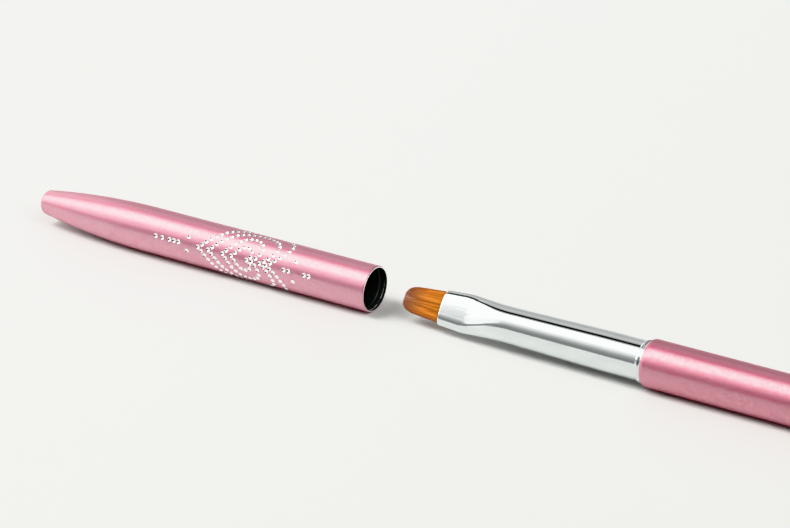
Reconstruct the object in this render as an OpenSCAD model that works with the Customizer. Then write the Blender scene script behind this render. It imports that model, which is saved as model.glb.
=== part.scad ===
// Acrylic nail brush with a drawn aluminium handle and a matching cap.
// The brush and its cap lie in one line along X, the cap drawn off the brush.
// +X runs from the closed end of the cap to the closed tail of the handle, +Z is up,
// and the round bodies rest on the plane z = 0.

/* [Handle and cap shells] */
// Outer diameter of the handle and of the cap
body_d = 9.5; // [9.3:0.1:12]
// Wall thickness of both drawn shells
wall_t = 0.33; // [0.3:0.01:0.6]
// Length of the handle tube from its mouth to its closed tail
handle_len = 81; // [75:1:140]
// Length of the cap from its mouth to its closed end
cap_len = 81; // [75:1:90]
// Length of the tapered end of each shell
taper_len = 27.8; // [20:0.1:32]
// Radius of the large arc that forms the tapered end
taper_arc_r = 172; // [150:1:260]
// Radius of the rounded corner of each closed end
end_corner_r = 1; // [0.6:0.1:1.2]
// Thickness of each closed end
end_wall_t = 0.8; // [0.5:0.1:2]
// Distance from the mouth of the cap to the mouth of the handle with the cap off
park_gap = 60.9; // [58:0.1:120]

/* [Ferrule] */
// Diameter of the straight seat that the cap slides onto
seat_d = 8.04; // [7.9:0.02:8.04]
// Length of the seat in front of the handle mouth
seat_len = 10; // [4:0.5:20]
// Length of the ferrule that shows in front of the handle mouth
ferrule_out = 45.2; // [44:0.1:50]
// Length of the ferrule tail held inside the handle
ferrule_tail = 18; // [8:1:24]
// Wall thickness of the ferrule
ferrule_wall = 0.3; // [0.2:0.05:0.4]
// Diameter of the round ferrule where the flattening starts
neck_d = 7.26; // [7:0.02:7.6]
// Distance from the handle mouth to the start of the flattening
neck_at = 31.8; // [30:0.1:33]
// Width of the flattened ferrule at its shoulder
shoulder_w = 8; // [7.6:0.1:8]
// Thickness of the flattened ferrule at its shoulder
shoulder_t = 3.4; // [2:0.1:3.6]
// Distance from the handle mouth to the shoulder
shoulder_at = 39.9; // [38:0.1:41]
// Width of the flattened ferrule at its mouth
mouth_w = 7.2; // [6.4:0.1:7.6]
// Thickness of the flattened ferrule at its mouth
mouth_t = 3; // [1.3:0.1:3.2]
// Roll of the flattened end about the axis, from lying flat
flat_roll = 52; // [0:1:90]

/* [Hair] */
// Length of hair in front of the ferrule
hair_out = 9.2; // [6:0.1:14]
// Width of the hair just before its rounded tip
hair_tip_w = 4.9; // [3:0.1:6]
// Thickness of the hair at its tip
hair_tip_t = 0.2; // [0.1:0.05:0.4]
// Distance from the handle mouth to the inner end of the hair
root_at = 27; // [25:0.5:28]
// Diameter of the bound root of the hair
root_d = 5.4; // [4.8:0.1:5.6]

/* [Collar] */
// Length of the bevelled collar that shows in front of the handle mouth
collar_out = 1.3; // [0.8:0.1:1.5]
// Diameter of the collar at the handle mouth
collar_base_d = 8.6; // [8.5:0.05:8.7]
// Diameter of the collar at its front edge
collar_front_d = 8.2; // [8.1:0.05:8.5]

/* [Liner of the cap] */
// Diameter of the bore that slides over the seat of the ferrule
liner_bore_d = 8.16; // [8.14:0.01:8.2]
// Length of the liner
liner_len = 30; // [12:1:36]
// Depth of the liner inside the mouth of the cap
liner_recess = 1.5; // [1.5:0.1:3]

/* [Cut dots] */
// Diameter of the ball cutter that makes the dots
dot_cutter_d = 1.6; // [1:0.1:2]
// Depth of each dot
dot_depth = 0.14; // [0.08:0.01:0.2]
// Distance between dots along a row
dot_pitch = 1.12; // [1:0.02:1.6]
// Angle from straight up to the middle line of the pattern, towards the front
pattern_roll = 72; // [0:1:180]

/* [Hidden] */

$fn = 96;
// Facets on the round ends inside a hull
hull_fn = 32;
// Overlap that keeps cuts clean
eps = 0.01;
// Thickness of one slice inside a hull
slice_t = 0.02;

body_r = body_d / 2;
bore_r = body_r - wall_t;
seat_r = seat_d / 2;
neck_r = neck_d / 2;
root_r = root_d / 2;

// The whole length is centred on x = 0
total_len = cap_len + park_gap + handle_len;
handle_mouth_x = total_len / 2 - handle_len;
cap_mouth_x = cap_len - total_len / 2;

// Bevel at the mouth of the handle tube: how far in and how far along
handle_bevel = [0.24, 0.85];
// Bevel at the mouth of the cap
cap_bevel = [0.16, 0.3];
// Straight steps that stand for the arc of the tapered end
taper_steps = 20;
// Straight steps that stand for a rounded corner
corner_steps = 6;

// Depth of the collar inside the handle mouth
collar_in = 1.2;
// Insert that holds the ferrule tail: how far it runs past the tail
insert_floor = 3;
// Bevel at each end of the liner bore
liner_bevel = 0.15;
// Cement round the root of the hair: how far it runs behind the root
cement_back = 4;
// Binding: distance in front of the inner end of the hair, turns and thread
binding_at = 1.6;
binding_turns = 6;
thread_d = 0.36;
// Spacing of the turns, a little under the thread so that they press together
thread_pitch = 0.32;
// Space between the hair and the wall of the ferrule
hair_clear = 0.05;
// Slices along the free hair, and how near the last one comes to a closed tip
hair_slices = 10;
last_slice = 0.99;
// Exponents of the oval tip: how late and how round the outline closes
tip_late = 10;
tip_round = 2.28;

// Nested heart rows of dots: [point, lobes, half-width], the first two measured from the mouth
dot_rows = [
    [39.4, 18.7, 8.2],
    [36.9, 21.3, 6.3],
    [33.4, 24.6, 4.45],
    [31.3, 26.6, 2.35]
];
// Single dots along the middle line, measured from the mouth of the cap
line_dots = [49.8, 48.2, 46.4, 45.3, 44.2, 18.7, 17.6, 13.9, 12.8];
// Pairs of dots either side of the middle line: [place, spacing]
pair_dots = [
    [42.0, 2.9],
    [16.4, 4.2]
];
// Points that measure the length round one row
row_samples = 240;

// ---- frames along the common axis ----

// Local +Z runs towards the tail of the handle
module toward_tail(x) {
    translate([x, 0, body_r])
        rotate([0, 90, 0])
            children();
}

// Local +Z runs towards the closed end of the cap, and local +X is up
module toward_cap(x) {
    translate([x, 0, body_r])
        rotate([0, -90, 0])
            children();
}

// ---- drawn shells ----

// Outer radius of a shell at distance z from its mouth
function shell_r(z, len) =
    let (past = max(0, z - (len - taper_len)))
    body_r - taper_arc_r + sqrt(taper_arc_r * taper_arc_r - past * past);

// Points along the tapered outline, set in by "inset"
function taper_points(len, inset, last) = [
    for (i = [0 : taper_steps])
        let (z = len - taper_len + (taper_len - last) * i / taper_steps)
        [shell_r(z, len) - inset, z]
];

// Rounded corner of a closed end that ends flat at z = top
function corner_points(r, top, corner) = [
    for (i = [1 : corner_steps])
        let (a = 90 * i / corner_steps)
        [r - corner + corner * cos(a), top - corner + corner * sin(a)]
];

// Outside of a shell, with the seam of its surface at the side, clear of the plane it rests on
module shell_outer(len, bevel) {
    end_r = shell_r(len - end_corner_r, len);
    rotate([0, 0, 90])
        rotate_extrude()
            polygon(concat(
                [[0, 0], [body_r - bevel[0], 0], [body_r, bevel[1]]],
                taper_points(len, 0, end_corner_r),
                corner_points(end_r, len, end_corner_r),
                [[0, len]]
            ));
}

module shell_hollow(len) {
    in_top = len - end_wall_t;
    in_corner = end_corner_r - wall_t;
    end_r = shell_r(len - end_wall_t - in_corner, len) - wall_t;
    rotate_extrude()
        polygon(concat(
            [[0, -eps], [bore_r, -eps]],
            taper_points(len, wall_t, end_wall_t + in_corner),
            corner_points(end_r, in_top, in_corner),
            [[0, in_top]]
        ));
}

module drawn_shell(len, bevel) {
    difference() {
        shell_outer(len, bevel);
        shell_hollow(len);
    }
}

module handle_tube() {
    color([0.80, 0.56, 0.62])
        toward_tail(handle_mouth_x)
            drawn_shell(handle_len, handle_bevel);
}

// ---- dots cut through the pink surface of the cap ----

// Heart outline, 1 unit from the middle line to the widest point.
// The first value runs along the cap and the second across it.
function heart(a) = [
    (13 * cos(a) - 4 * cos(2 * a) - 2 * cos(3 * a) - cos(4 * a)) / 28,
    sin(a) * abs(sin(a))
];

// The outline of one row, stretched so that its point is at "tip" and its lobes reach "lobe"
function row_point(row, a) =
    let (
        h = heart(a),
        lobe_top = heart(49)[0],
        point_low = heart(180)[0]
    )
    [row[0] + (row[1] - row[0]) * (h[0] - point_low) / (lobe_top - point_low), row[2] * h[1]];

// Length round the outline up to each sample
function run_lengths(points, i = 1, sums = [0]) =
    i == len(points)
        ? sums
        : run_lengths(points, i + 1, concat(sums, [sums[i - 1] + norm(points[i] - points[i - 1])]));

// Point at distance d along the sampled outline
function point_at(points, sums, d, i = 1) =
    (i == len(points) - 1 || sums[i] >= d)
        ? points[i - 1] + (points[i] - points[i - 1]) * (d - sums[i - 1]) / (sums[i] - sums[i - 1])
        : point_at(points, sums, d, i + 1);

// Evenly spaced dots round one row
function row_dots(row) =
    let (
        points = [for (i = [0 : row_samples]) row_point(row, 360 * i / row_samples)],
        sums = run_lengths(points),
        around = sums[row_samples],
        count = 2 * round(around / dot_pitch / 2)
    )
    [for (k = [0 : count - 1]) point_at(points, sums, around * k / count)];

// One dot at distance z from the mouth, and "side" mm round from the middle line
module dot_cut(z, side) {
    angle = pattern_roll + side / body_r * 180 / PI;
    rotate([0, 0, -angle])
        translate([body_r + dot_cutter_d / 2 - dot_depth, 0, z])
            sphere(d = dot_cutter_d, $fn = 24);
}

module dot_pattern() {
    for (row = dot_rows)
        for (dot = row_dots(row))
            dot_cut(dot[0], dot[1]);
    for (z = line_dots)
        dot_cut(z, 0);
    for (pair = pair_dots)
        for (side = [-1, 1])
            dot_cut(pair[0], side * pair[1] / 2);
}

module cap_shell() {
    color([0.82, 0.60, 0.65])
        toward_cap(cap_mouth_x)
            difference() {
                drawn_shell(cap_len, cap_bevel);
                dot_pattern();
            }
}

// Black plastic sleeve that grips the seat of the ferrule
module cap_liner() {
    liner_r = liner_bore_d / 2;
    color([0.05, 0.05, 0.06])
        toward_cap(cap_mouth_x - liner_recess)
            difference() {
                cylinder(r = bore_r, h = liner_len);
                translate([0, 0, -eps])
                    cylinder(r = liner_r, h = liner_len + 2 * eps);
                translate([0, 0, -eps])
                    cylinder(r1 = liner_r + liner_bevel + eps, r2 = liner_r, h = liner_bevel + eps);
                translate([0, 0, liner_len - liner_bevel])
                    cylinder(r1 = liner_r, r2 = liner_r + liner_bevel + eps, h = liner_bevel + eps);
            }
}

// ---- front of the handle ----

// Plastic plug with a blind bore for the ferrule tail
module handle_insert() {
    color([0.10, 0.10, 0.11])
        toward_tail(handle_mouth_x + collar_in)
            difference() {
                cylinder(r = bore_r, h = ferrule_tail - collar_in + insert_floor);
                translate([0, 0, -eps])
                    cylinder(r = seat_r, h = ferrule_tail - collar_in + eps);
            }
}

module collar_ring() {
    base_r = collar_base_d / 2;
    front_r = collar_front_d / 2;
    color([0.80, 0.81, 0.82])
        toward_cap(handle_mouth_x)
            rotate_extrude()
                polygon([
                    [seat_r, -collar_in],
                    [bore_r, -collar_in],
                    [bore_r, 0],
                    [base_r, 0],
                    [front_r + 0.05, collar_out - 0.12],
                    [front_r, collar_out],
                    [seat_r, collar_out]
                ]);
}

// ---- ferrule and what it holds, with local +Z from the handle mouth towards the hair ----

// Thin slab with round ends, across the flattened end
module flat_slice(z, width, thick) {
    reach = (width - thick) / 2;
    translate([0, 0, z])
        rotate([0, 0, 90 - flat_roll])
            for (side = [-1, 1])
                translate([side * reach, 0, 0])
                    cylinder(d = thick, h = slice_t, $fn = hull_fn);
}

// Flattened part of the ferrule, set in all round by "inset" and made longer by "extra"
module flat_body(inset, extra) {
    hull() {
        translate([0, 0, neck_at])
            cylinder(r = neck_r - inset, h = slice_t, $fn = hull_fn);
        flat_slice(shoulder_at - slice_t, shoulder_w - 2 * inset, shoulder_t - 2 * inset);
    }
    hull() {
        flat_slice(shoulder_at - slice_t, shoulder_w - 2 * inset, shoulder_t - 2 * inset);
        flat_slice(ferrule_out - slice_t + extra, mouth_w - 2 * inset, mouth_t - 2 * inset);
    }
}

// Round part of the ferrule: the tail, the seat and the long cone, set in by "inset"
module round_body(inset, from) {
    rotate_extrude()
        polygon([
            [0, from],
            [seat_r - inset, from],
            [seat_r - inset, seat_len],
            [neck_r - inset, neck_at],
            [neck_r - inset, neck_at + slice_t],
            [0, neck_at + slice_t]
        ]);
}

module ferrule() {
    color([0.78, 0.80, 0.81])
        toward_cap(handle_mouth_x)
            difference() {
                union() {
                    round_body(0, -ferrule_tail);
                    flat_body(0, 0);
                }
                round_body(ferrule_wall, -ferrule_tail - eps);
                flat_body(ferrule_wall, eps);
            }
}

// Width of the free hair at fraction t of its length, closing to an oval tip
function hair_w(t) =
    let (
        base_w = mouth_w - 2 * ferrule_wall - 2 * hair_clear,
        side_w = base_w + (hair_tip_w - base_w) * t
    )
    side_w * pow(1 - pow(t, tip_late), 1 / tip_round);

function hair_t(t) =
    let (base_t = mouth_t - 2 * ferrule_wall - 2 * hair_clear)
    base_t + (hair_tip_t - base_t) * t;

// Oval paddle of hair outside the ferrule, with its slices closer together near the tip
module free_hair() {
    hull()
        for (i = [0 : hair_slices]) {
            t = sqrt(last_slice * i / hair_slices);
            flat_slice(ferrule_out - slice_t + hair_out * t, hair_w(t), hair_t(t));
        }
}

module hair_bundle() {
    color([0.70, 0.42, 0.12])
        toward_cap(handle_mouth_x) {
            free_hair();
            flat_body(ferrule_wall + hair_clear, 0);
            translate([0, 0, root_at])
                cylinder(r = root_r, h = neck_at - root_at + slice_t);
        }
}

// Thread wound round the root of the hair
module root_binding() {
    color([0.90, 0.88, 0.82])
        toward_cap(handle_mouth_x)
            translate([0, 0, root_at + binding_at])
                rotate_extrude() {
                    translate([root_r, 0])
                        square([thread_d / 2, thread_pitch * (binding_turns - 1)]);
                    for (turn = [0 : binding_turns - 1])
                        translate([root_r + thread_d / 2, thread_pitch * turn])
                            circle(d = thread_d, $fn = 16);
                }
}

// Hardened cement that fills the round bore behind and round the root
module root_cement() {
    cement_from = root_at - cement_back;
    pocket_from = root_at + binding_at - thread_d / 2;
    pocket_len = thread_pitch * (binding_turns - 1) + thread_d;
    color([0.86, 0.72, 0.40])
        toward_cap(handle_mouth_x)
            difference() {
                intersection() {
                    round_body(ferrule_wall, -ferrule_tail);
                    translate([0, 0, cement_from])
                        cylinder(r = body_r, h = neck_at - cement_from);
                }
                translate([0, 0, root_at])
                    cylinder(r = root_r, h = neck_at);
                translate([0, 0, pocket_from])
                    cylinder(r = root_r + thread_d, h = pocket_len);
            }
}

handle_tube();
handle_insert();
collar_ring();
ferrule();
hair_bundle();
root_binding();
root_cement();
cap_shell();
cap_liner();
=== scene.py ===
import math
import random

import bmesh
import bpy
import numpy as np
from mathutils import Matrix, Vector


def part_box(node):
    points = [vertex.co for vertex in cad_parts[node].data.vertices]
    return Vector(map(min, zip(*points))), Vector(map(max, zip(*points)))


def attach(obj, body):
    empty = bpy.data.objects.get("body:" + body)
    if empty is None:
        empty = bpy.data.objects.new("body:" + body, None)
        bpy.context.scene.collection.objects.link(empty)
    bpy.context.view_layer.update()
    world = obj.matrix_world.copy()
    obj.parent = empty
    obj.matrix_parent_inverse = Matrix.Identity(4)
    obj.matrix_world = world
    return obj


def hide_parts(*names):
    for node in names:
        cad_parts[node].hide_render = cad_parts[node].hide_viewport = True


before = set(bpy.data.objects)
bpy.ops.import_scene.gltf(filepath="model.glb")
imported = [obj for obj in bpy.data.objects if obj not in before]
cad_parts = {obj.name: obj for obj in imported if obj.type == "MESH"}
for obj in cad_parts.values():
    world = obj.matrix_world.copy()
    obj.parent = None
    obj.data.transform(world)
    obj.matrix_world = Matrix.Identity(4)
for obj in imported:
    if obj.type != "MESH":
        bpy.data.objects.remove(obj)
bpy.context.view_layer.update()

MM = 0.001

# ---------------------------------------------------------------- places, from the frame

cap_lo, cap_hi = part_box("cap_shell")
tube_lo, tube_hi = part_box("handle_tube")
ferrule_lo, ferrule_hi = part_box("ferrule")
hair_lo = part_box("hair_bundle")[0]
collar_lo, collar_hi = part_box("collar_ring")

BODY_R = (tube_hi.z - tube_lo.z) / 2
AXIS_Z = (tube_hi.z + tube_lo.z) / 2
CAP_MOUTH_X = cap_hi.x
CAP_LEN = cap_hi.x - cap_lo.x
TUBE_MOUTH_X = tube_lo.x
TUBE_LEN = tube_hi.x - tube_lo.x
FERRULE_OUT = TUBE_MOUTH_X - ferrule_lo.x
FERRULE_TAIL = ferrule_hi.x - TUBE_MOUTH_X
HAIR_OUT = ferrule_lo.x - hair_lo.x
COLLAR_OUT = TUBE_MOUTH_X - collar_lo.x
COLLAR_IN = collar_hi.x - TUBE_MOUTH_X

# ---------------------------------------------------------------- sizes that the frame doesn't give

# Drawn shells
WALL = 0.33 * MM
TAPER_LEN = 27.8 * MM
TAPER_ARC_R = 172 * MM
END_CORNER_R = 1 * MM
END_WALL = 0.8 * MM
BORE_R = BODY_R - WALL
# Mouth bevels: how far in and how far along
TUBE_BEVEL = (0.24 * MM, 0.85 * MM)
CAP_BEVEL = (0.16 * MM, 0.3 * MM)

# Ferrule
SEAT_R = 4.02 * MM
SEAT_LEN = 10 * MM
NECK_R = 3.63 * MM
NECK_AT = 31.8 * MM
SHOULDER_AT = 39.9 * MM
SHOULDER = (8.0 * MM, 3.4 * MM)
MOUTH = (7.2 * MM, 3.0 * MM)
FERRULE_WALL = 0.3 * MM
FLAT_ROLL = math.radians(52)
# Half of the length over which the seat, the neck and the shoulder turn
SEAT_BLEND = 1.5 * MM
NECK_BLEND = 3.2 * MM
SHOULDER_BLEND = 1.1 * MM
# The faces come flat a little before the width is full
FACE_AT = 38.6 * MM
# Length of the round ends of the flattened section over their height,
# and how far past the neck they start to stretch
END_STRETCH = 1.55
STRETCH_LAG = 3 * MM
# How far the faces fall off at their sides
FACE_CROWN = 0.05 * MM
# Crimp marks: heights, and how far they run past the sides of a face. Faces narrower than that have none.
STREAK_HEIGHT = 0.0022 * MM
LUMP_HEIGHT = 0.016 * MM
CRIMP_EDGE = 1.2 * MM
# Where the turned part of the ferrule's mesh gives way to the finer, flattened part
FLAT_START = 28.6 * MM

# Collar: places from the handle's mouth outwards
COLLAR_GROOVE_AT = 0.4 * MM
COLLAR_BEAD_AT = 0.72 * MM
COLLAR_GROOVE_R = 4.16 * MM
COLLAR_BEAD_R = 4.27 * MM

# Hair
HAIR_CLEAR = 0.05 * MM
HAIR_TIP_W = 4.9 * MM
HAIR_TIP_T = 0.2 * MM
# The tip's outline is across ** TIP_ROUND + along ** TIP_LATE = 1
TIP_LATE = 10
TIP_ROUND = 2.28
# Filaments on the faces: how many, how far across and through the bundle they lie and how long they are,
# as shares of its half-width, half-thickness and full length, and their radius in millimetres
HAIR_COUNT = 1300
HAIR_REACH = 0.985
HAIR_DEPTH = (0.72, 0.97)
HAIR_SHARE = (0.955, 1.0)
HAIR_R = (0.026, 0.042)
# How far they wander sideways, as a share of the half-width
HAIR_WANDER = 0.012
# The same for the filaments along the edges
EDGE_HAIR_COUNT = 160
EDGE_HAIR_REACH = (0.94, 0.985)
EDGE_HAIR_DEPTH = (-0.8, 0.8)
EDGE_HAIR_SHARE = (0.9, 1)
EDGE_HAIR_R = 0.035
# A filament starts a little inside the ferrule and loses most of its radius towards its tip
HAIR_START = -0.06
HAIR_TAPER = 0.85
# The core: its share of the bundle's width, thickness and length,
# and where it starts inside the ferrule, as a share of the showing length
CORE_WIDTH, CORE_THICK, CORE_END, CORE_START = 0.94, 0.8, 0.97, -0.8

# Cut dots
DOT_CUTTER_R = 0.8 * MM
DOT_DEPTH = 0.14 * MM
PATTERN_ROLL = math.radians(72)
# Nested hearts of dots, in millimetres: the pitch of the dots, and for each heart the distances of its point
# and its lobes from the mouth of the cap and its half-width
DOT_PITCH = 1.12
DOT_ROWS = [(39.4, 18.7, 8.2), (36.9, 21.3, 6.3), (33.4, 24.6, 4.45), (31.3, 26.6, 2.35)]
# Dots along the middle line, and pairs across it with the gap between the two
LINE_DOTS = [49.8, 48.2, 46.4, 45.3, 44.2, 18.7, 17.6, 13.9, 12.8]
PAIR_DOTS = [(42.0, 2.9), (16.4, 4.2)]

# Painted highlight: a bright broken ring low inside the cap's mouth, where its inner edge catches the light,
# in millimetres: its depth, the distances from its middle line at which it starts to fade and is gone, and
# the heights above the floor between which it fades upwards
GLINT_DEPTH = 0.6
GLINT_EDGE = (0.03, 0.11)
GLINT_HEIGHT = (1.5, 5.2)

# Directions across the flattened end: along its width and out of its upper face
WIDE = Vector((0, -math.cos(FLAT_ROLL), -math.sin(FLAT_ROLL)))
FACE = Vector((0, -math.sin(FLAT_ROLL), math.cos(FLAT_ROLL)))

random.seed(7)

# ---------------------------------------------------------------- node and mesh helpers


class Graph:
    """Short calls that add shader nodes to one tree and link them."""

    def __init__(self, tree):
        self.tree = tree
        tree.nodes.clear()

    def put(self, socket, value):
        if isinstance(value, bpy.types.NodeSocket):
            self.tree.links.new(value, socket)
        else:
            socket.default_value = value

    def add(self, kind, inputs=(), **settings):
        node = self.tree.nodes.new(kind)
        for name, value in settings.items():
            setattr(node, name, value)
        for key, value in dict(inputs).items():
            self.put(node.inputs[key], value)
        return node

    def math(self, operation, *values, clamp=False):
        node = self.add("ShaderNodeMath", enumerate(values), operation=operation, use_clamp=clamp)
        return node.outputs[0]

    def coords(self, scale=(1, 1, 1)):
        """Object coordinates in millimetres, stretched."""
        source = self.add("ShaderNodeTexCoord").outputs["Object"]
        size = tuple(s / MM for s in scale)
        return self.add("ShaderNodeMapping", {"Vector": source, "Scale": size}).outputs[0]

    def noise(self, vector, scale, detail=2.0, roughness=0.5):
        inputs = {"Vector": vector, "Scale": scale, "Detail": detail, "Roughness": roughness}
        return self.add("ShaderNodeTexNoise", inputs).outputs[0]

    def span(self, value, low, high, to_low, to_high):
        """Maps low..high to to_low..to_high and holds the ends."""
        inputs = {0: value, 1: low, 2: high, 3: to_low, 4: to_high}
        return self.add("ShaderNodeMapRange", inputs).outputs[0]

    def mix(self, factor, a, b):
        node = self.add("ShaderNodeMix", data_type="RGBA")
        for socket, value in zip((node.inputs[0], node.inputs[6], node.inputs[7]), (factor, a, b)):
            self.put(socket, value)
        return node.outputs[2]

    def ramp(self, factor, stops):
        """Colour ramp with stops of (place from 0 to 1, grey or colour)."""
        node = self.add("ShaderNodeValToRGB", {0: factor})
        ramp = node.color_ramp
        while len(ramp.elements) < len(stops):
            ramp.elements.new(0.5)
        for element, (place, colour) in zip(ramp.elements, stops):
            element.position = place
            element.color = grey(colour) if isinstance(colour, (int, float)) else colour
        return node.outputs[0]

    def bump(self, height, strength, distance):
        inputs = {"Height": height, "Strength": strength, "Distance": distance}
        return self.add("ShaderNodeBump", inputs).outputs[0]


def grey(value):
    return (value, value, value, 1)


def rgb(r, g, b):
    return (r, g, b, 1)


def material(name, build, **uniform):
    """A material whose Principled shader gets the sockets that build() returns and the uniform values."""
    made = bpy.data.materials.new(name)
    made.use_nodes = True
    graph = Graph(made.node_tree)
    sockets = build(graph)
    shader = graph.add("ShaderNodeBsdfPrincipled", {**uniform, **sockets})
    graph.add("ShaderNodeOutputMaterial", {"Surface": shader.outputs[0]})
    return made


def new_piece(name, verts, faces, *materials):
    mesh = bpy.data.meshes.new(name)
    mesh.from_pydata([tuple(v) for v in verts], [], faces)
    for made in materials:
        mesh.materials.append(made)
    piece = bpy.data.objects.new(name, mesh)
    bpy.context.scene.collection.objects.link(piece)
    return piece


def finish_mesh(mesh, sharp_degrees=30):
    """Outward faces, smooth shading and sharp edges where the surface really turns."""
    work = bmesh.new()
    work.from_mesh(mesh)
    bmesh.ops.recalc_face_normals(work, faces=work.faces)
    work.to_mesh(mesh)
    work.free()
    mesh.polygons.foreach_set("use_smooth", [True] * len(mesh.polygons))
    mesh.set_sharp_from_angle(angle=math.radians(sharp_degrees))


def ride_for(piece, body, node):
    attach(piece, body)
    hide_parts(node)


def lathe(name, outline, segments, *materials):
    """Turns a closed outline of (x, radius) about the common axis. A radius of 0 makes a pole."""
    verts, rows = [], []
    for x, radius in outline:
        count = 1 if radius == 0 else segments
        rows.append([len(verts) + k % count for k in range(segments)])
        for k in range(count):
            angle = 2 * math.pi * k / segments
            verts.append((x, radius * math.sin(angle), AXIS_Z + radius * math.cos(angle)))
    faces = []
    for i in range(len(rows)):
        a, b = rows[i], rows[(i + 1) % len(rows)]
        for k in range(segments):
            n = (k + 1) % segments
            corners = list(dict.fromkeys((a[k], a[n], b[n], b[k])))
            if len(corners) > 2:
                faces.append(corners)
    piece = new_piece(name, verts, faces, *materials)
    finish_mesh(piece.data)
    return piece


def arc(centre, radius, start, end, steps):
    """Points along an arc from start to end, in degrees, of (along, out) pairs."""
    angles = [math.radians(start + (end - start) * i / steps) for i in range(steps + 1)]
    return [(centre[0] + radius * math.cos(a), centre[1] + radius * math.sin(a)) for a in angles]


# ---------------------------------------------------------------- materials

# How far the strength of the pink's clear seal strays from its middle value
SEAL_SPREAD = 0.22


def anodised(g, light, deep, seal):
    """Satin dyed aluminium: fine blasted grain, slow cloudiness, a few hairline marks
    and a clear seal of uneven strength round the value of seal."""
    fine = g.noise(g.coords(), 5.5, 3, 0.6)
    grain = g.noise(g.coords(), 1.7, 2, 0.6)
    cloud = g.noise(g.coords((0.35, 1, 1)), 0.16, 2)
    marks = g.noise(g.coords((0.5, 14, 14)), 0.8, 1)
    fine_tone = g.span(fine, 0.3, 0.7, -0.45, 0.45)
    tone = g.math("ADD", fine_tone, g.span(cloud, 0.3, 0.7, 0.2, 0.8), clamp=True)
    satin = g.span(fine, 0.3, 0.7, 0.45, 0.55)
    return {
        "Base Color": g.mix(tone, deep, light),
        "Roughness": g.math("ADD", satin, g.span(marks, 0.62, 0.72, 0, -0.05)),
        "Normal": g.bump(fine, 0.12, 0.012 * MM),
        "Coat Weight": g.span(grain, 0.35, 0.65, seal - SEAL_SPREAD, seal + SEAL_SPREAD),
    }


def cut_metal(g):
    """Bare bright aluminium left by a diamond cutter, with its fine turning lines."""
    lines = g.noise(g.coords((3, 3, 3)), 4, 2)
    return {
        "Base Color": g.mix(lines, rgb(0.93, 0.94, 0.94), rgb(0.98, 0.98, 0.98)),
        "Roughness": g.span(lines, 0.3, 0.7, 0.03, 0.07),
    }


def plated(g, low, high):
    """Bright nickel plating with faint drawn lines and handling smears.
    The roughness runs from low, where it is clean, to high."""
    smear = g.noise(g.coords((0.25, 1, 1)), 0.7, 4, 0.6)
    drawn = g.noise(g.coords((0.08, 6, 6)), 1.6, 2)
    dull = g.span(smear, 0.35, 0.7, 0, 1)
    return {
        "Base Color": g.mix(dull, rgb(0.72, 0.75, 0.75), rgb(0.65, 0.685, 0.685)),
        "Roughness": g.span(smear, 0.4, 0.75, low, high),
        "Normal": g.bump(drawn, 0.05, 0.004 * MM),
    }


def black_plastic(g):
    """Moulded black plastic with a slight grain."""
    grain = g.noise(g.coords(), 6, 3)
    return {
        "Base Color": g.mix(grain, rgb(0.02, 0.021, 0.021), rgb(0.032, 0.034, 0.033)),
        "Roughness": g.span(grain, 0.3, 0.7, 0.36, 0.48),
        "Normal": g.bump(grain, 0.2, 0.01 * MM),
    }


def painted_shade_bore(g):
    """Dull black on the bores of the drawn tubes, painted shade for the dark inside of their mouths, with a
    painted highlight: a thin broken bright ring low inside the cap's mouth.
    """
    streaks = g.noise(g.coords((0.2, 4, 4)), 1.5, 2)
    place = g.add("ShaderNodeSeparateXYZ", {0: g.coords()})
    # Painted highlight: a bright ring, kept only low down, where the inner edge catches the light
    off_ring = g.math("ABSOLUTE", g.math("ADD", place.outputs[0], GLINT_DEPTH - CAP_MOUTH_X / MM))
    ring = g.span(off_ring, *GLINT_EDGE, 1, 0)
    low = g.math("MULTIPLY", ring, g.span(place.outputs[2], *GLINT_HEIGHT, 1, 0))
    painted_glint = g.math("MULTIPLY", low, g.span(g.noise(g.coords((2, 1, 1)), 1.4, 2), 0.4, 0.55, 0.1, 1))
    black = g.mix(streaks, rgb(0.022, 0.024, 0.023), rgb(0.036, 0.038, 0.037))
    return {
        "Base Color": g.mix(painted_glint, black, rgb(0.75, 0.77, 0.76)),
        "Roughness": g.span(streaks, 0.3, 0.7, 0.45, 0.6),
    }


def thread(g):
    """Waxed binding thread, twisted across its run."""
    twist = g.noise(g.coords((4, 1, 1)), 5, 2)
    return {
        "Base Color": g.mix(twist, rgb(0.62, 0.58, 0.48), rgb(0.8, 0.77, 0.68)),
        "Roughness": g.span(twist, 0.3, 0.7, 0.6, 0.8),
        "Normal": g.bump(twist, 0.4, 0.05 * MM),
    }


def cement(g):
    """Amber cement, set with small bubbles."""
    bubbles = g.noise(g.coords(), 2.5, 2)
    return {
        "Base Color": g.mix(bubbles, rgb(0.5, 0.3, 0.1), rgb(0.68, 0.45, 0.17)),
        "Roughness": g.span(bubbles, 0.3, 0.7, 0.15, 0.35),
        "Normal": g.bump(bubbles, 0.3, 0.1 * MM),
    }


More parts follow.
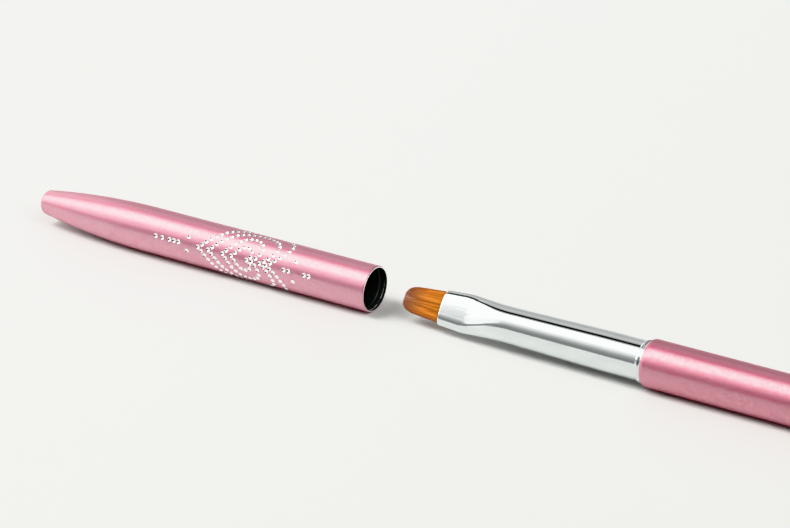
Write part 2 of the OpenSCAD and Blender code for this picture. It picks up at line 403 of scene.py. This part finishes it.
def hair_colour(g):
    """Golden brown filaments that darken to the tip, each with its own tone, with painted shade at the root
    where they leave the ferrule and along the bundle's two edges.
    The piece's map holds how far across and how far along the bundle a point is, each from 0 to 1."""
    place = g.add("ShaderNodeUVMap", uv_map="bundle").outputs[0]
    split = g.add("ShaderNodeSeparateXYZ", {0: place})
    across, along = split.outputs[0], split.outputs[1]
    fibre = g.add("ShaderNodeMapping", {"Vector": place, "Scale": (95, 1.3, 1)}).outputs[0]
    lock = g.add("ShaderNodeMapping", {"Vector": place, "Scale": (22, 0.9, 1)}).outputs[0]
    fine = g.noise(fibre, 1, 1)
    broad = g.noise(lock, 1, 2)
    # Painted shade: both ramps are darker at the root, where the filaments leave the ferrule
    bright = g.ramp(along, [
        (0, rgb(0.62, 0.27, 0.06)),
        (0.08, rgb(0.92, 0.44, 0.09)),
        (0.42, rgb(0.9, 0.42, 0.11)),
        (0.7, rgb(0.6, 0.28, 0.12)),
        (0.9, rgb(0.48, 0.225, 0.14)),
        (1, rgb(0.44, 0.21, 0.13)),
    ])
    dark = g.ramp(along, [
        (0, rgb(0.36, 0.12, 0.03)),
        (0.45, rgb(0.5, 0.18, 0.045)),
        (0.8, rgb(0.35, 0.14, 0.07)),
        (1, rgb(0.26, 0.1, 0.06)),
    ])
    fine_tone = g.span(fine, 0.35, 0.65, -0.4, 0.4)
    tone = g.math("ADD", fine_tone, g.span(broad, 0.32, 0.68, 0.0, 1.1), clamp=True)
    body = g.mix(tone, dark, bright)
    # Painted shade: darker red-brown along the bundle's two edges
    edge = g.math("ABSOLUTE", g.math("SUBTRACT", across, 0.5))
    return {
        "Base Color": g.mix(g.span(edge, 0.4, 0.5, 0, 0.85), body, rgb(0.25, 0.06, 0.015)),
        "Roughness": g.span(fine, 0.3, 0.7, 0.32, 0.5),
    }


def cap_pink(g):
    return anodised(g, rgb(0.59, 0.18, 0.265), rgb(0.51, 0.14, 0.22), 0.88)


# Painted shade: the cap's pink made deeper and given a weaker seal for the handle, which lies further from
# the light
def shaded_handle_pink(g):
    return anodised(g, rgb(0.53, 0.12, 0.2), rgb(0.46, 0.09, 0.16), 0.76)


SEALED = {
    "Metallic": 1.0,
    "Specular Tint": rgb(0.85, 0.42, 0.5),
    "Coat Roughness": 0.27,
    "Coat IOR": 3.1,
}
PINK = material("anodised_pink", cap_pink, **SEALED)
SHADED_PINK = material("anodised_pink_painted_shade", shaded_handle_pink, **SEALED)
CUT = material("cut_aluminium", cut_metal, Metallic=1.0)
# Painted shade: black on the bores, where the inside of the mouths lies dark
PAINTED_SHADE_BORE = material("painted_shade_bore", painted_shade_bore)
FERRULE_METAL = material("nickel_ferrule", lambda g: plated(g, 0.05, 0.13), Metallic=1.0)
COLLAR_METAL = material("bright_collar", lambda g: plated(g, 0.12, 0.2), Metallic=1.0)
HAIR = material("golden_filament", hair_colour, **{"Specular IOR Level": 0.5})
LINER = material("black_liner", black_plastic)
INSERT = material("black_insert", black_plastic)
THREAD = material("binding_thread", thread)
CEMENT = material("amber_cement", cement, **{"Coat Weight": 0.4})
PINK_SLOT, CUT_SLOT, PAINTED_SHADE_BORE_SLOT = 0, 1, 2

# ---------------------------------------------------------------- drawn shells

# Facets round the shells and the collar
SHELL_SEGMENTS = 192
COLLAR_SEGMENTS = 128
# How near the mouth's plane the middle of a face of the cut rim is
RIM_REACH = 0.001 * MM
# Degrees at which a heart's outline reaches its point and the top of a lobe
HEART_POINT, HEART_LOBE = 180, 49


def shell_r(z, length):
    """Outer radius at distance z from the mouth."""
    past = max(0.0, z - (length - TAPER_LEN))
    return BODY_R - TAPER_ARC_R + math.sqrt(TAPER_ARC_R ** 2 - past ** 2)


def taper(length, inset, last, steps=60):
    """Points along the shell's curved taper, from where it starts to last, set in by inset."""
    start = length - TAPER_LEN
    places = [start + (last - start) * i / steps for i in range(steps + 1)]
    return [(z, shell_r(z, length) - inset) for z in places]


def shell_outline(length, bevel):
    """Closed outline of a drawn shell as (distance from the mouth, radius), outside first."""
    corner_at = length - END_CORNER_R
    corner = (corner_at, shell_r(corner_at, length) - END_CORNER_R)
    in_corner_r = END_CORNER_R - WALL
    in_at = length - END_WALL - in_corner_r
    in_corner = (in_at, shell_r(in_at, length) - WALL - in_corner_r)
    mouth_steps = 6
    rise = [math.radians(90 * i / mouth_steps) for i in range(mouth_steps + 1)]
    mouth = [(bevel[1] * (1 - math.cos(a)), BODY_R - bevel[0] * (1 - math.sin(a))) for a in rise]
    outside = mouth + taper(length, 0, corner_at) + arc(corner, END_CORNER_R, 90, 0, steps=10)[1:]
    inside = taper(length, WALL, in_at) + arc(in_corner, in_corner_r, 90, 0, steps=6)[1:]
    poles = [(length, 0.0), (length - END_WALL, 0.0)]
    return outside + poles + inside[::-1] + [(0.0, BORE_R)]


def shell(name, mouth_x, toward, length, bevel, skin):
    """A drawn shell with a bare rim and a bore coloured black as painted shade. It runs from its mouth to +x
    if toward is 1, and to -x if it is -1."""
    outline = [(mouth_x + toward * z, r) for z, r in shell_outline(length, bevel)]
    piece = lathe(name, outline, SHELL_SEGMENTS, skin, CUT, PAINTED_SHADE_BORE)
    # Faces inside the bore take the black of painted shade
    for face in piece.data.polygons:
        out = math.hypot(face.center.y, face.center.z - AXIS_Z)
        z = (face.center.x - mouth_x) * toward
        if z < RIM_REACH:
            face.material_index = CUT_SLOT
        elif out < shell_r(z, length) - WALL / 2 and z < length - END_WALL / 2:
            face.material_index = PAINTED_SHADE_BORE_SLOT
    return piece


def heart(degrees):
    """A place on a heart's outline as (along it, to its side), each within -1 to 1."""
    a = math.radians(degrees)
    along = (13 * math.cos(a) - 4 * math.cos(2 * a) - 2 * math.cos(3 * a) - math.cos(4 * a)) / 28
    return along, math.sin(a) * abs(math.sin(a))


def row_dots(point, lobe, half_width, samples=240):
    """Evenly spaced dots round one heart, as (distance from the mouth, distance round), in mm."""
    low, top = heart(HEART_POINT)[0], heart(HEART_LOBE)[0]
    outline = []
    for i in range(samples + 1):
        along, side = heart(360 * i / samples)
        outline.append((point + (lobe - point) * (along - low) / (top - low), half_width * side))
    line = np.array(outline)
    run = np.concatenate([[0], np.cumsum(np.linalg.norm(np.diff(line, axis=0), axis=1))])
    count = 2 * round(run[-1] / DOT_PITCH / 2)
    at = run[-1] * np.arange(count) / count
    return list(zip(np.interp(at, run, line[:, 0]), np.interp(at, run, line[:, 1])))


def all_dots():
    dots = [dot for row in DOT_ROWS for dot in row_dots(*row)]
    dots += [(z, 0.0) for z in LINE_DOTS]
    dots += [(z, side * gap / 2) for z, gap in PAIR_DOTS for side in (-1, 1)]
    return dots


def dot_cutters():
    """One mesh with the end of a small ball for each dot, from its depth to just above the surface."""
    rings, sides, lift = 5, 20, 0.06 * MM
    reach = DOT_DEPTH + lift
    open_angle = math.acos(1 - reach / DOT_CUTTER_R)
    verts, faces = [], []
    for z, side in all_dots():
        angle = PATTERN_ROLL + side * MM / BODY_R
        out = Vector((0, -math.sin(angle), math.cos(angle)))
        round_way = Vector((0, -math.cos(angle), -math.sin(angle)))
        along = Vector((-1, 0, 0))
        ball = Vector((CAP_MOUTH_X - z * MM, 0, AXIS_Z)) + out * (BODY_R - DOT_DEPTH + DOT_CUTTER_R)
        first = len(verts)
        verts.append(ball - out * DOT_CUTTER_R)
        for i in range(1, rings + 1):
            tip = open_angle * i / rings
            for k in range(sides):
                turn = 2 * math.pi * k / sides
                flat = (along * math.cos(turn) + round_way * math.sin(turn)) * math.sin(tip)
                verts.append(ball + (flat - out * math.cos(tip)) * DOT_CUTTER_R)
        for k in range(sides):
            n = (k + 1) % sides
            faces.append((first, first + 1 + n, first + 1 + k))
            for i in range(rings - 1):
                a = first + 1 + i * sides
                faces.append((a + k, a + n, a + sides + n, a + sides + k))
        last = first + 1 + (rings - 1) * sides
        faces.append([last + k for k in range(sides)])
    cutters = new_piece("dot_cutters", verts, faces, PINK, CUT, PAINTED_SHADE_BORE)
    finish_mesh(cutters.data)
    for face in cutters.data.polygons:
        face.material_index = CUT_SLOT
    return cutters


def cut_away(piece, cutters):
    """Cuts the dots out of the shell for good and removes the cutters."""
    cut = piece.modifiers.new("dots", "BOOLEAN")
    cut.operation = "DIFFERENCE"
    cut.solver = "EXACT"
    cut.object = cutters
    cut.use_self = True
    bpy.context.view_layer.update()
    whole = piece.evaluated_get(bpy.context.evaluated_depsgraph_get())
    result = bpy.data.meshes.new_from_object(whole)
    piece.modifiers.clear()
    piece.data = result
    result.name = piece.name
    bpy.data.objects.remove(cutters)


def cap_normal(point):
    """Direction out of the pink surface of the cap at a point on it."""
    out = Vector((0, point.y, point.z - AXIS_Z)).normalized()
    past = max(0.0, (CAP_MOUTH_X - point.x) - (CAP_LEN - TAPER_LEN))
    return (out + Vector((-past / math.sqrt(TAPER_ARC_R ** 2 - past ** 2), 0, 0))).normalized()


def true_normals(mesh):
    """Keeps the pink surface round the dots shaded as the smooth shell that it is."""
    mesh.polygons.foreach_set("use_smooth", [True] * len(mesh.polygons))
    mesh.set_sharp_from_angle(angle=math.radians(25))
    normals = []
    corner = mesh.corner_normals
    last = CAP_LEN - END_CORNER_R
    skin_depth = 0.02 * MM
    for face in mesh.polygons:
        z = CAP_MOUTH_X - face.center.x
        out = math.hypot(face.center.y, face.center.z - AXIS_Z)
        outside = CAP_BEVEL[1] < z < last and out > shell_r(z, CAP_LEN) - skin_depth
        for index in face.loop_indices:
            if outside and face.material_index == PINK_SLOT:
                point = mesh.vertices[mesh.loops[index].vertex_index].co
                normals.append(cap_normal(point))
            else:
                normals.append(Vector(corner[index].vector))
    mesh.normals_split_custom_set(normals)


def make_cap():
    cap = shell("cap_barrel", CAP_MOUTH_X, -1, CAP_LEN, CAP_BEVEL, PINK)
    cut_away(cap, dot_cutters())
    true_normals(cap.data)
    ride_for(cap, "cap", "cap_shell")


def make_tube():
    tube = shell("handle_barrel", TUBE_MOUTH_X, 1, TUBE_LEN, TUBE_BEVEL, SHADED_PINK)
    ride_for(tube, "brush", "handle_tube")


def make_collar():
    """A bead rolled in front of the handle mouth, with a groove behind it."""
    outline = [(-COLLAR_IN, SEAT_R), (-COLLAR_IN, BORE_R), (0.0, BORE_R)]
    steps = 6
    for i in range(1, steps + 1):
        fall = math.sin(math.pi / 2 * i / steps)
        outline.append((COLLAR_GROOVE_AT * i / steps, BORE_R + (COLLAR_GROOVE_R - BORE_R) * fall))
    run = COLLAR_BEAD_AT - COLLAR_GROOVE_AT
    for i in range(1, steps + 1):
        rise = (1 - math.cos(math.pi * i / steps)) / 2
        radius = COLLAR_GROOVE_R + (COLLAR_BEAD_R - COLLAR_GROOVE_R) * rise
        outline.append((COLLAR_GROOVE_AT + run * i / steps, radius))
    front = COLLAR_OUT - COLLAR_BEAD_AT
    front_steps = 8
    for i in range(1, front_steps + 1):
        a = math.pi / 2 * i / front_steps
        radius = SEAT_R + (COLLAR_BEAD_R - SEAT_R) * math.cos(a)
        outline.append((COLLAR_BEAD_AT + front * math.sin(a), radius))
    placed = [(TUBE_MOUTH_X - s, r) for s, r in outline]
    collar = lathe("collar_ring_bright", placed, COLLAR_SEGMENTS, COLLAR_METAL)
    ride_for(collar, "brush", "collar_ring")


# ---------------------------------------------------------------- ferrule


def eased(value, at, half):
    """A ramp that is 0 before at and rises one for one after it, with its corner rounded over 2 * half."""
    past = value - at
    if past <= -half:
        return 0.0
    if past >= half:
        return past
    return (past + half) ** 2 / (4 * half)


def section(s):
    """Half the width, half the thickness and the stretch of the round ends, at s from the handle."""
    half_w, half_t = [size / 2 for size in SHOULDER]
    mouth_w, mouth_t = [size / 2 for size in MOUTH]
    cone = (NECK_R - SEAT_R) / (NECK_AT - SEAT_LEN)
    widen = (half_w - NECK_R) / (SHOULDER_AT - NECK_AT)
    narrow = (mouth_w - half_w) / (FERRULE_OUT - SHOULDER_AT)
    fall = (half_t - NECK_R) / (FACE_AT - NECK_AT)
    close = (mouth_t - half_t) / (FERRULE_OUT - FACE_AT)
    past_neck = eased(s, NECK_AT, NECK_BLEND)
    past_shoulder = eased(s, SHOULDER_AT, SHOULDER_BLEND)
    past_face = eased(s, FACE_AT, SHOULDER_BLEND)
    turned = SEAT_R + cone * eased(s, SEAT_LEN, SEAT_BLEND)
    width = turned + ((widen - cone) * past_neck + (narrow - widen) * past_shoulder)
    thick = turned + ((fall - cone) * past_neck + (close - fall) * past_face)
    stretch_at = NECK_AT + STRETCH_LAG
    paddle = min(1.0, max(0.0, (s - stretch_at) / (SHOULDER_AT - stretch_at)))
    return width, thick, 1 + (END_STRETCH - 1) * paddle ** 2


def flat_oval(width, radius, stretch, count):
    """Evenly spaced points round a flat oval with stretched ends, each an (across, out) pair
    with its outward direction."""
    end = min(radius * stretch, width)
    half = width - end
    fall = FACE_CROWN * min(1.0, half / MM)
    bend_points, face_points = 97, 41
    turn = np.linspace(-math.pi / 2, math.pi / 2, bend_points)
    bend = np.stack([half + end * np.cos(turn), (radius - fall) * np.sin(turn)], 1)
    way = np.stack([np.cos(turn) / end, np.sin(turn) / radius], 1)
    way /= np.linalg.norm(way, axis=1)[:, None]
    steps = np.linspace(1, -1, face_points)[1:-1]
    face = np.stack([half * steps, radius - fall * steps ** 2], 1)
    face_way = np.stack([2 * fall * steps / max(half, 0.1 * MM), np.ones_like(steps)], 1)
    line = np.concatenate([bend, face, -bend, -face, bend[:1]])
    ways = np.concatenate([way, face_way, -way, -face_way, way[:1]])
    run = np.concatenate([[0], np.cumsum(np.linalg.norm(np.diff(line, axis=0), axis=1))])
    at = run[-1] * np.arange(count) / count
    places = np.stack([np.interp(at, run, line[:, k]) for k in range(2)], 1)
    outs = np.stack([np.interp(at, run, ways[:, k]) for k in range(2)], 1)
    outs /= np.linalg.norm(outs, axis=1)[:, None]
    return list(zip(places.tolist(), outs.tolist()))


def crimp(s, across, half, side):
    """How far the faint streaks pressed into the flat faces, and the small lumps where they end,
    stand out of the surface. half is half the width of the face, and side is 1 on the upper face
    and -1 on the lower one. Places are in millimetres and waves in radians per millimetre."""
    if half < CRIMP_EDGE:
        return 0.0
    u = across / MM
    z = (s - SHOULDER_AT) / MM
    inside = max(0.0, 1 - (abs(across) / (half + CRIMP_EDGE)) ** 6)
    lines = math.sin(6.1 * u + 0.9 * side) + 0.6 * math.sin(10.3 * u + 2.1 * side + 0.35 * z)
    fade = math.exp(-((z - 1.2 - 0.5 * math.sin(3.1 * u)) / 1.5) ** 2)
    wave = 0.25 * u + 0.2 * math.sin(3.3 * u + side) + 0.12 * math.sin(7.1 * u)
    lump = math.exp(-((z + 1.2 - wave) / 0.45) ** 2) * (0.55 + 0.45 * math.sin(5.4 * u + 1.3))
    return inside * (STREAK_HEIGHT * fade * lines + LUMP_HEIGHT * lump)


def ring_at(s, inset, count):
    """Points round the ferrule at distance s from the handle, set in by inset.
    Only the outside has crimp marks."""
    width, thick, stretch = section(s)
    points = []
    for (across, out), way in flat_oval(width - inset, thick - inset, stretch, count):
        press = 0.0
        if inset == 0:
            side = 1 if out > 0 else -1
            press = crimp(s, across, width - thick, side) * abs(way[1]) ** 3
        place = Vector((TUBE_MOUTH_X - s, 0, AXIS_Z)) + WIDE * (across + way[0] * press)
        points.append(place + FACE * (out + way[1] * press))
    return points


def make_ferrule():
    """A tube drawn from stations of (distance from the handle, depth below the outside)."""
    count = 192
    outside = [
        *np.linspace(-FERRULE_TAIL, SEAT_LEN - 2 * MM, 8),
        *np.linspace(SEAT_LEN - SEAT_BLEND, FLAT_START - 0.4 * MM, 30),
        *np.linspace(FLAT_START, FERRULE_OUT - 0.08 * MM, 90),
    ]
    lip = [
        (FERRULE_OUT - 0.02 * MM, 0.05 * MM),
        (FERRULE_OUT, FERRULE_WALL / 2),
        (FERRULE_OUT - 0.03 * MM, FERRULE_WALL),
    ]
    inside = [*np.linspace(FERRULE_OUT - 0.5 * MM, FLAT_START, 40), SEAT_LEN, -FERRULE_TAIL]
    stations = [(s, 0.0) for s in outside] + lip + [(s, FERRULE_WALL) for s in inside]
    verts, faces = [], []
    for s, inset in stations:
        verts += ring_at(s, inset, count)
    for i in range(len(stations)):
        a, b = i * count, (i + 1) % len(stations) * count
        for k in range(count):
            n = (k + 1) % count
            faces.append((a + k, a + n, b + n, b + k))
    ferrule = new_piece("crimped_ferrule", verts, faces, FERRULE_METAL)
    finish_mesh(ferrule.data, sharp_degrees=40)
    ride_for(ferrule, "brush", "ferrule")


# ---------------------------------------------------------------- hair


def bundle_size(mouth, tip, t):
    """Width or thickness of the bundle at t along it, from that of the ferrule's mouth and of the tip."""
    root = mouth - 2 * FERRULE_WALL - 2 * HAIR_CLEAR
    return root + (tip - root) * t


def hair_point(q, p, t):
    """A point in the bundle: q across and p through it, each from -1 to 1, and t along it."""
    out_t = max(t, 0.0)
    across = q * bundle_size(MOUTH[0], HAIR_TIP_W, out_t) / 2
    thick = bundle_size(MOUTH[1], HAIR_TIP_T, out_t) / 2 * math.sqrt(max(0.0, 1 - abs(q) ** 4))
    return Vector((ferrule_lo.x - t * HAIR_OUT, 0, AXIS_Z)) + WIDE * across + FACE * p * thick


def tip_of(q):
    """How far along the bundle the filaments at q end."""
    return (1 - min(1.0, abs(q)) ** TIP_ROUND) ** (1 / TIP_LATE)


def add_uv(piece, places):
    """The map that the hair's colour follows, one (across, along) place for each point of the mesh."""
    layer = piece.data.uv_layers.new(name="bundle")
    for loop in piece.data.loops:
        layer.data[loop.index].uv = places[loop.vertex_index]


def make_core():
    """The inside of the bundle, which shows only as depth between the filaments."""
    count, steps = 64, 28
    verts, faces, places = [], [], []
    for row in range(steps + 1):
        # The rows lie closer together towards the tip
        t = CORE_START + (CORE_END - CORE_START) * (1 - (1 - row / steps) ** 1.6)
        open_w = CORE_WIDTH * (1 - max(t, 0.0) ** TIP_LATE) ** (1 / TIP_ROUND)
        for k in range(count):
            a = 2 * math.pi * k / count
            q, p = math.cos(a) * open_w, math.sin(a) * CORE_THICK
            verts.append(hair_point(q, p, t))
            places.append((0.5 + q / 2, max(0.0, t)))
    for i in range(steps):
        for k in range(count):
            n = (k + 1) % count
            a, b = i * count, (i + 1) * count
            faces.append((a + k, a + n, b + n, b + k))
    faces += [list(range(count)), [steps * count + k for k in range(count)]]
    core = new_piece("hair_core", verts, faces, HAIR)
    add_uv(core, places)
    finish_mesh(core.data, sharp_degrees=50)
    return core


def strand(q, p, length, thick, wander, verts, faces, places):
    """One tapered filament with three sides, from just inside the ferrule to length along the bundle."""
    steps = 9
    first = len(verts)
    for i in range(steps + 1):
        t = HAIR_START + (length - HAIR_START) * i / steps
        sway = wander * math.sin(math.pi * max(0.0, t))
        centre = hair_point(q + sway, p, t)
        r = thick * (1 - (i / steps) ** 3 * HAIR_TAPER)
        for k in range(3):
            a = 2 * math.pi * k / 3 + math.pi / 2 * (1 if p >= 0 else -1)
            verts.append(centre + WIDE * r * math.cos(a) + FACE * r * math.sin(a))
            places.append((0.5 + q / 2, max(0.0, t)))
    for i in range(steps):
        for k in range(3):
            n = (k + 1) % 3
            a, b = first + i * 3, first + (i + 1) * 3
            faces.append((a + k, a + n, b + n, b + k))
    faces.append((first, first + 1, first + 2))
    last = first + steps * 3
    faces.append((last + 2, last + 1, last))


def make_hair():
    """Filaments on both faces of the bundle, then those along its two edges."""
    verts, faces, places = [], [], []
    for i in range(HAIR_COUNT):
        side = 1 if i % 2 else -1
        q = math.sin(math.pi / 2 * random.uniform(-1, 1)) * HAIR_REACH
        p = side * random.uniform(*HAIR_DEPTH)
        length = tip_of(q) * random.uniform(*HAIR_SHARE)
        thick = random.uniform(*HAIR_R) * MM
        wander = random.gauss(0, HAIR_WANDER)
        strand(q, p, length, thick, wander, verts, faces, places)
    for i in range(EDGE_HAIR_COUNT):
        side = 1 if i % 2 else -1
        q = side * random.uniform(*EDGE_HAIR_REACH)
        p = random.uniform(*EDGE_HAIR_DEPTH)
        length = tip_of(q) * random.uniform(*EDGE_HAIR_SHARE)
        strand(q, p, length, EDGE_HAIR_R * MM, 0.0, verts, faces, places)
    hair = new_piece("hair_filaments", verts, faces, HAIR)
    add_uv(hair, places)
    finish_mesh(hair.data, sharp_degrees=80)
    core = make_core()
    ride_for(hair, "brush", "hair_bundle")
    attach(core, "brush")


# ---------------------------------------------------------------- CAD nodes that stay


def dress(node, made):
    """A better material on a CAD node whose shape is right."""
    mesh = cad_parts[node].data
    mesh.materials.clear()
    mesh.materials.append(made)


# ---------------------------------------------------------------- floor, light and camera


FLOOR_HALF = 3.0


def paper(g):
    """Matt pale paper, with painted shade: a little darker and yellower towards the handle's side, where the
    light falls off.
    """
    cloud = g.noise(g.coords(), 0.02, 2)
    across = g.add("ShaderNodeSeparateXYZ", {0: g.coords()}).outputs[0]
    # Painted shade: the paper darkens towards +x, where the light falls off
    painted_falloff = g.span(across, -110, 90, 0.0, 1.0)
    tone = g.math("ADD", g.span(cloud, 0.3, 0.7, -0.05, 0.05), painted_falloff, clamp=True)
    return {
        "Base Color": g.mix(tone, rgb(0.655, 0.655, 0.644), rgb(0.597, 0.6, 0.58)),
        "Roughness": g.span(cloud, 0.3, 0.7, 0.55, 0.6),
    }


def make_floor():
    corners = [(-1, -1), (1, -1), (1, 1), (-1, 1)]
    verts = [(x * FLOOR_HALF, y * FLOOR_HALF, 0) for x, y in corners]
    pale = material("pale_floor", paper, **{"Specular IOR Level": 0.3})
    new_piece("floor", verts, [(0, 1, 2, 3)], pale)


# Brightness of the room round the axis of the brush, as (degrees from straight up towards the front,
# brightness). On the cap's side: grey back wall, dark gap, wide lamp overhead and a front wall that
# fades downwards.
LEFT_ROOM = [
    (-180, 0.95), (-94, 0.95), (-78, 0.78), (-66, 0.64), (-58, 0.6), (-44, 0.8), (-30, 0.78), (-25, 0.5),
    (-21.5, 0.02), (-11, 0.02), (-8, 0.6), (-1, 0.9), (11, 12), (31, 12), (40, 1.4), (47, 1.12), (53, 0.98),
    (60, 0.64), (76, 0.35), (84, 0.35), (89, 0.38), (94, 0.95), (180, 0.95),
]
# On the handle's side: dim back wall, a paler strip behind the top and the dark of the room in front
RIGHT_ROOM = [
    (-180, 0.3), (-28, 0.3), (-20, 0.8), (-4, 0.8), (5, 0.04), (92, 0.04), (100, 0.3), (180, 0.3),
]
# Beyond the handle: a dimmer lamp over a dim room
END_ROOM = [
    (-180, 0.2), (-40, 0.2), (-28, 0.6), (0, 0.6), (10, 5), (36, 5), (48, 0.6), (80, 0.2), (180, 0.2),
]
# Beyond the cap: a bright wall with the same dark gap, the lamp and a grey strip low in front
FAR_ROOM = [
    (-180, 1.7), (-26, 1.7), (-22, 0.02), (-11, 0.02), (-7, 1.7), (0, 2), (9, 8.5), (36, 8.5), (46, 2),
    (60, 1.9), (68, 0.4), (82, 0.4), (90, 1.7), (180, 1.7),
]
# Where one room gives way to the next, from -1 straight towards the cap's end to 1 towards the handle's end
FAR_TO_LEFT = (-0.72, -0.6)
LEFT_TO_RIGHT = (-0.34, -0.22)
RIGHT_TO_END = (0.28, 0.38)
# Direction from the object to the camera, as azimuth and elevation in degrees, and what it looks at
CAMERA_AZIMUTH, CAMERA_ELEVATION = 31.566, 25.231
CAMERA_DISTANCE = 642.4 * MM
CAMERA_LENS = 145.95
CAMERA_AIM = Vector((CAP_MOUTH_X - 2.75 * MM, 11.9 * MM, AXIS_Z + 0.05 * MM))


def heading(azimuth, elevation):
    """Direction from the object at an azimuth from the front and an elevation, in degrees."""
    a, e = math.radians(azimuth), math.radians(elevation)
    return Vector((math.sin(a) * math.cos(e), -math.cos(a) * math.cos(e), math.sin(e)))


def room_side(g, place, stops):
    """Brightness round the axis from stops of (degrees, brightness)."""
    most = max(value for degrees, value in stops)
    share = g.ramp(place, [((degrees + 180) / 360, value / most) for degrees, value in stops])
    return g.math("MULTIPLY", share, most)


def make_light():
    """A room round the axis of the brush, which changes along it from the cap's end to the handle's."""
    world = bpy.data.worlds.new("studio")
    bpy.context.scene.world = world
    world.use_nodes = True
    g = Graph(world.node_tree)
    way = g.add("ShaderNodeTexCoord").outputs["Generated"]
    split = g.add("ShaderNodeSeparateXYZ", {0: way})
    turn = g.math("ARCTAN2", g.math("MULTIPLY", split.outputs[1], -1.0), split.outputs[2])
    place = g.math("MULTIPLY_ADD", turn, 0.5 / math.pi, 0.5)
    level = room_side(g, place, FAR_ROOM)
    changes = ((LEFT_ROOM, FAR_TO_LEFT), (RIGHT_ROOM, LEFT_TO_RIGHT), (END_ROOM, RIGHT_TO_END))
    for room, (start, end) in changes:
        share = g.span(split.outputs[0], start, end, 0.0, 1.0)
        level = g.math("MULTIPLY_ADD", share, g.math("SUBTRACT", room_side(g, place, room), level), level)
    lamp = g.add("ShaderNodeBackground", {"Color": rgb(1, 1, 0.99), "Strength": level})
    g.add("ShaderNodeOutputWorld", {"Surface": lamp.outputs[0]})


def make_camera():
    data = bpy.data.cameras.new("camera")
    data.lens = CAMERA_LENS
    data.sensor_width = 36
    data.clip_start = 0.01
    data.clip_end = 20
    camera = bpy.data.objects.new("camera", data)
    bpy.context.scene.collection.objects.link(camera)
    camera.location = CAMERA_AIM + heading(CAMERA_AZIMUTH, CAMERA_ELEVATION) * CAMERA_DISTANCE
    camera.rotation_euler = (math.radians(90 - CAMERA_ELEVATION), 0, math.radians(CAMERA_AZIMUTH))
    bpy.context.scene.camera = camera


make_camera()
make_light()
make_floor()
make_cap()
make_tube()
make_collar()
make_ferrule()
make_hair()
dress("cap_liner", LINER)
dress("handle_insert", INSERT)
dress("root_binding", THREAD)
dress("root_cement", CEMENT)
bpy.context.scene.view_settings.view_transform = "Khronos PBR Neutral"
